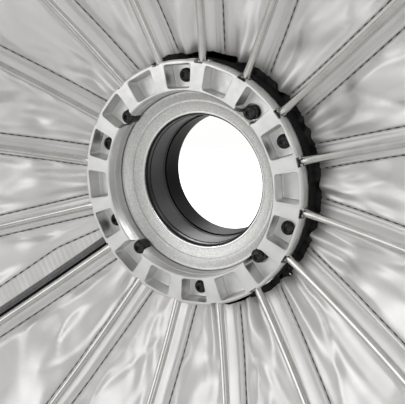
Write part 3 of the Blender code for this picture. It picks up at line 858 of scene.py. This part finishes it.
def sheet_mesh(name, rib, along, across, thickness, lift=0.0):
    """A closed thin sheet on the lining, for distances along the rod and a grid of distances across it."""
    along = np.repeat(along[:, None], across.shape[1], axis=1)
    inner = cloth(rib, along, across, lift)
    return closed_sheet(name, inner, surface_normals(rib, along, across, lift), thickness)


def closed_sheet(name, inner, normals, thickness):
    """Thicken a grid of points along its normals: the inner side first, then the outer one and the edges.

    Both sides are split along the same diagonals, so that neither can show through the other.
    """
    rows, columns = inner.shape[:2]
    outer = inner + normals * thickness
    points = np.concatenate([inner.reshape(-1, 3), outer.reshape(-1, 3)])
    count = rows * columns
    grid = np.arange(count).reshape(rows, columns)
    corners = [grid[:-1, :-1], grid[:-1, 1:], grid[1:, 1:], grid[1:, :-1]]
    halves = [np.stack([corners[corner] for corner in half], axis=-1) for half in ((0, 1, 2), (0, 2, 3))]
    faces = np.stack(halves, axis=-2).reshape(-1, 3)
    loop = np.concatenate([grid[0, :-1], grid[:-1, -1], grid[-1, :0:-1], grid[:0:-1, 0]])
    rim = np.stack([loop, np.roll(loop, -1), np.roll(loop, -1) + count, loop + count], axis=-1)
    first = points[faces[0]]
    square = np.cross(first[1] - first[0], first[2] - first[0])
    faces_out = np.dot(square, normals.reshape(-1, 3)[0]) > 0
    inner_faces = faces[:, ::-1] if faces_out else faces
    outer_faces = (faces if faces_out else faces[:, ::-1]) + count
    rim = rim if not faces_out else rim[:, ::-1]
    mesh = bpy.data.meshes.new(name)
    mesh.from_pydata(points.tolist(), [], inner_faces.tolist() + outer_faces.tolist() + rim.tolist())
    mesh.polygons.foreach_set("material_index", [0] * len(faces) + [1] * (len(faces) + len(rim)))
    mesh.shade_smooth()
    flat_normals = np.concatenate([-normals.reshape(-1, 3), normals.reshape(-1, 3)])
    mesh.normals_split_custom_set_from_vertices(flat_normals.tolist())
    return mesh


def show_cloth(name, mesh, finishes, index, replaced=()):
    """Put a piece on a rib, with a mesh of its own."""
    piece = show(name, mesh, finishes, f"rib_{index + 1:02d}", hinge_frame(index), replaced)
    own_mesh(piece)
    return piece


def strip(name, rib, start, end, rows, columns, thickness, lift):
    """A narrow strip on the lining, given by its columns' distances across."""
    along = np.linspace(start, end, rows)
    across = np.repeat(np.array(columns)[None, :], rows, axis=0)
    return sheet_mesh(name, rib, along, across, thickness, lift)


def make_gore(index):
    """One gore, with everything that is sewn to it."""
    number = f"{index + 1:02d}"
    along = gore_stations()
    across = gore_columns(along)
    mesh = sheet_mesh(f"gore_{number}", index, along, across, CLOTH_THICKNESS)
    gore = show_cloth(f"gore_{number}_cloth", mesh, [LINING, NYLON], index,
                      [f"gore_{number}"])
    extras = [make_hem(index), *make_seam_threads(index), make_tip_pocket(index), make_binding(index),
              make_skirt(index, along, across)]
    if index == CLOSURE_RIB:
        extras += make_closure(index)


def make_hem(index):
    """Black binding round the mouth's edge."""
    name = f"hem_{index + 1:02d}"
    along = np.linspace(FABRIC_END - 17 * MM, FABRIC_END + 1.2 * MM, 5)
    across = gore_columns(along)
    mesh = sheet_mesh(name, index, along, across, 2.4 * MM, lift=0.9 * MM)
    return show_cloth(name, mesh, [WEBBING, WEBBING], index)


def make_seam_threads(index):
    """The stitching along both edges of the sleeve."""
    threads = []
    for side, label in ((-1, "left"), (1, "right")):
        if index == CLOSURE_RIB and side > 0:
            continue                        # the closing flap covers it
        edges = sorted(side * (STITCH_OFFSET + offset * MM) for offset in (-0.33, 0, 0.33))
        name = f"seam_thread_{index + 1:02d}_{label}"
        mesh = strip(name, index, 6 * MM, FABRIC_END - 20 * MM, 150, edges, 0.3 * MM, 0.25 * MM)
        threads.append(show_cloth(name, mesh, [THREAD, THREAD], index))
    return threads


def make_binding(index):
    """Black tape over the seam on the outside."""
    name = f"binding_{index + 1:02d}"
    columns = tuple(distance * MM for distance in (-10, -8.8, -8, -6.8, -4, 0, 4, 6.8, 8, 8.8, 10))
    mesh = strip(name, index, FABRIC_START, FABRIC_END - 16 * MM, 110, columns, 0.5 * MM, -CLOTH_THICKNESS)
    return show_cloth(name, mesh, [WEBBING, WEBBING], index)


def add_tip_pocket(work):
    """A sewn pocket that holds the rod's end: a low tunnel, wide at its base."""
    sides, stations = 9, 12
    before, length = 34 * MM, 46 * MM
    rings = []
    for step in range(stations + 1):
        share = step / stations
        along = ROD_LENGTH - before + length * share
        out, depth = rod_line(along)
        turn = rod_turn(along)
        behind = Vector((math.cos(turn), 0, math.sin(turn)))
        swell = 1.0 if share < 0.75 else math.sqrt(max(0.0, 1 - ((share - 0.75) / 0.25) ** 2))
        ring = []
        for i in range(sides):
            turned = math.pi * i / (sides - 1)
            height = (5.0 * swell + 0.4) * MM * math.sin(turned) + 5.0 * MM * (1 - swell) * -1
            across = (6.0 + 5.0 * abs(math.cos(turned)) ** 3) * MM * math.cos(turned)
            ring.append(Vector((out, across, depth)) - behind * height)
        for across in (8 * MM, 0.0, -8 * MM):
            ring.append(Vector((out, -across, depth)) + behind * 4.6 * MM)
        rings.append(ring)
    add_tube(work, rings)


def make_tip_pocket(index):
    number = f"{index + 1:02d}"
    mesh = mesh_from(add_tip_pocket, "tip_pocket")
    return show(f"tip_pocket_{number}", mesh, [WEBBING], f"rib_{number}", hinge_frame(index))


def grid_mesh(name, rows, facing, thickness):
    """A closed thin sheet through a grid of points; its first side faces away from facing."""
    by_row, by_column = np.gradient(rows, axis=(0, 1))
    normals = np.cross(by_row, by_column)
    normals /= np.linalg.norm(normals, axis=-1, keepdims=True)
    normals *= np.sign(np.sum(normals * facing, axis=-1, keepdims=True))
    return closed_sheet(name, rows, normals, thickness)


def make_skirt(index, along, across):
    """The cloth between the gore's foot and the black collar."""
    number = f"{index + 1:02d}"
    foot = cloth(index, along[:1] + 3 * MM, across[:1], -2.2 * MM)      # just behind the gore
    turns = np.arctan2(across[0], COLLAR_RADIUS)
    azimuth = rod_azimuth(index) + turns
    gather = sum(np.sin(count * azimuth + phase) for count, phase in ((67, 0.3), (41, 1.9), (23, 4.0)))
    depth = 22.6 * MM + 0.8 * MM * gather
    radius = COLLAR_RADIUS + 0.3 * MM * np.sin(89 * azimuth)
    sewn = np.stack([radius * np.cos(turns) - HINGE_RADIUS, radius * np.sin(turns),
                     depth - HINGE_DEPTH], axis=-1)
    shares = np.linspace(0, 1, 8)[:, None, None]
    rows = sewn[None] * (1 - shares) + foot * shares
    rows[:, :, 0] += 0.8 * MM * np.sin(np.pi * shares[:, :, 0]) * np.cos(53 * azimuth)[None]
    inward = np.array([-1.0, 0.0, 0.3])
    mesh = grid_mesh(f"skirt_{number}", rows, inward, CLOTH_THICKNESS)
    # Black nylon on both sides: the inner side, where the silver lining gathers to the collar, is painted
    # shade for the dark gathers by the ring.
    skirt = show(f"collar_skirt_{number}", mesh, [NYLON, NYLON], None, hinge_frame(index))
    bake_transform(skirt)
    return skirt


def flap_lift(along):
    """The closing flap's fine cross ribs, above the lining."""
    return 1.9 * MM + 0.16 * MM * np.sqrt(np.abs(np.sin(np.pi * along / FLAP_RIB)))


def make_closure(index):
    """The closing flap with its hook tape, beside the rod where the canopy is joined."""
    start, end = FABRIC_START + 2 * MM, FABRIC_END - 18 * MM
    tape_columns = tuple(distance * MM for distance in (7.6, 9, 10.2, 11.4, 12.5))
    tape_mesh = strip("hook_strip_tape", index, start, end, 170, tape_columns, 0.9 * MM, 1.9 * MM)
    tape = show_cloth("hook_strip_tape", tape_mesh, [HOOKS, WEBBING], index, ["hook_strip"])
    # A black strip along the hook tape's edge nearer the rod, 5.6 to 7.4 mm out and lifted 2.1 mm.
    black_edge_columns = (5.6 * MM, 6.5 * MM, 7.4 * MM)
    black_edge_mesh = strip("hook_strip_black_edge", index, start, end, 170, black_edge_columns, 1.1 * MM, 2.1 * MM)
    black_edge = show_cloth("hook_strip_black_edge", black_edge_mesh, [BLACK_PLASTIC, BLACK_PLASTIC], index)
    along = np.linspace(start, end, 900)
    outer = np.minimum(FLAP_OUTER, half_width(along) - MM)
    across = FLAP_INNER + (outer - FLAP_INNER)[:, None] * np.linspace(0, 1, 8)[None, :]
    flap_mesh = sheet_mesh("closing_flap_cloth", index, along, across, 0.8 * MM, lift=flap_lift)
    flap = show_cloth("closing_flap_cloth", flap_mesh, [LINING, NYLON], index,
                      ["closing_flap"])
    edge_across = np.stack([outer - 0.5 * MM, outer + 0.6 * MM], axis=1)
    edge_mesh = sheet_mesh("closing_flap_edge", index, along[::5], edge_across[::5], 1.2 * MM, 2.5 * MM)
    edge = show_cloth("closing_flap_edge", edge_mesh, [THREAD, THREAD], index)
    return [tape, black_edge, edge]


# ---------------------------------------------------------------- collar
def make_collar():
    """The black band round the rim."""
    inner = RIM_RADIUS + 0.35 * MM
    outline = [(inner + 0.9 * MM, 11.2 * MM), (inner + 0.9 * MM, 24 * MM), (95.6 * MM, 26.2 * MM),
               (95.2 * MM, 27.1 * MM), (inner, 25.2 * MM), (inner, 11.2 * MM)]
    mesh = mesh_from(add_turned, "collar_band", rounded(outline, 0.3 * MM))
    show("collar_band", mesh, [WEBBING], "speedring", replaced=["ring_collar"])


# ---------------------------------------------------------------- stage
def make_stage():
    scene = bpy.context.scene
    scene.view_settings.view_transform = "Standard"
    world = bpy.data.worlds.new("studio")
    world.use_nodes = True
    tree = world.node_tree
    background = tree.nodes["Background"]
    background.inputs["Color"].default_value = (1.0, 0.995, 0.985, 1)
    seen = tree.nodes.new("ShaderNodeLightPath").outputs["Is Camera Ray"]
    strength = tree.nodes.new("ShaderNodeMapRange")
    strength.inputs["To Min"].default_value = 0.44      # as light
    strength.inputs["To Max"].default_value = 1.0       # as a white background
    tree.links.new(seen, strength.inputs["Value"])
    tree.links.new(strength.outputs["Result"], background.inputs["Strength"])
    scene.world = world
    paint = Finish("floor_paint", (0.92, 0.92, 0.91), 0.6, 0.0)
    paint.rough(paint.noise(3, 2.0), 0.55, 0.65)
    bpy.ops.mesh.primitive_plane_add(size=9, location=(0, 0, CAD_BOUNDS[0].z - 0.12))
    floor = bpy.context.object
    floor.name = "floor"
    floor.data.materials.append(paint.material)
    for name, place, target, size, power in (
        ("key", (-1.9, -2.3, 0.9), (0, 0, 0), 2.8, 27),
        ("fill", (1.6, -1.4, 0.2), (0, -0.2, 0), 1.6, 6),
        ("rim", (1.2, 1.8, 1.6), (0, -0.2, 0), 1.2, 15),
        ("background", (-1.5, 2.8, 1.4), (-1.5, 2.8, -1), 1.8, 110),
    ):
        light = bpy.data.lights.new(name, "AREA")
        light.size = size
        light.energy = power
        made = bpy.data.objects.new(name, light)
        scene.collection.objects.link(made)
        made.location = place
        made.rotation_euler = (Vector(target) - Vector(place)).to_track_quat("-Z", "Y").to_euler()


def make_camera():
    """Just inside the mouth, to the right of the axis and above it, looking back at the ring."""
    camera = bpy.data.cameras.new("camera")
    camera.lens = 63.7
    camera.sensor_width = 36
    camera.clip_start = 0.01
    made = bpy.data.objects.new("camera", camera)
    bpy.context.scene.collection.objects.link(made)
    made.location = (0.2588, -0.5157, 0.1024)
    pitch, roll, yaw = math.radians(-12.52), math.radians(-0.16), math.radians(-28.81)
    turn = Matrix.Rotation(-yaw, 4, "Z") @ Matrix.Rotation(math.pi / 2 + pitch, 4, "X")
    made.rotation_euler = (turn @ Matrix.Rotation(roll, 4, "Z")).to_euler()
    bpy.context.scene.camera = made


make_camera()
make_stage()
make_speedring()
make_screws()
make_adapter()
make_rods()
for rib_index in range(ROD_COUNT):
    make_gore(rib_index)
make_collar()
back_plate = frame["nodes"]["speedring_back"].data
back_plate.materials.clear()
back_plate.materials.append(ALUMINIUM)
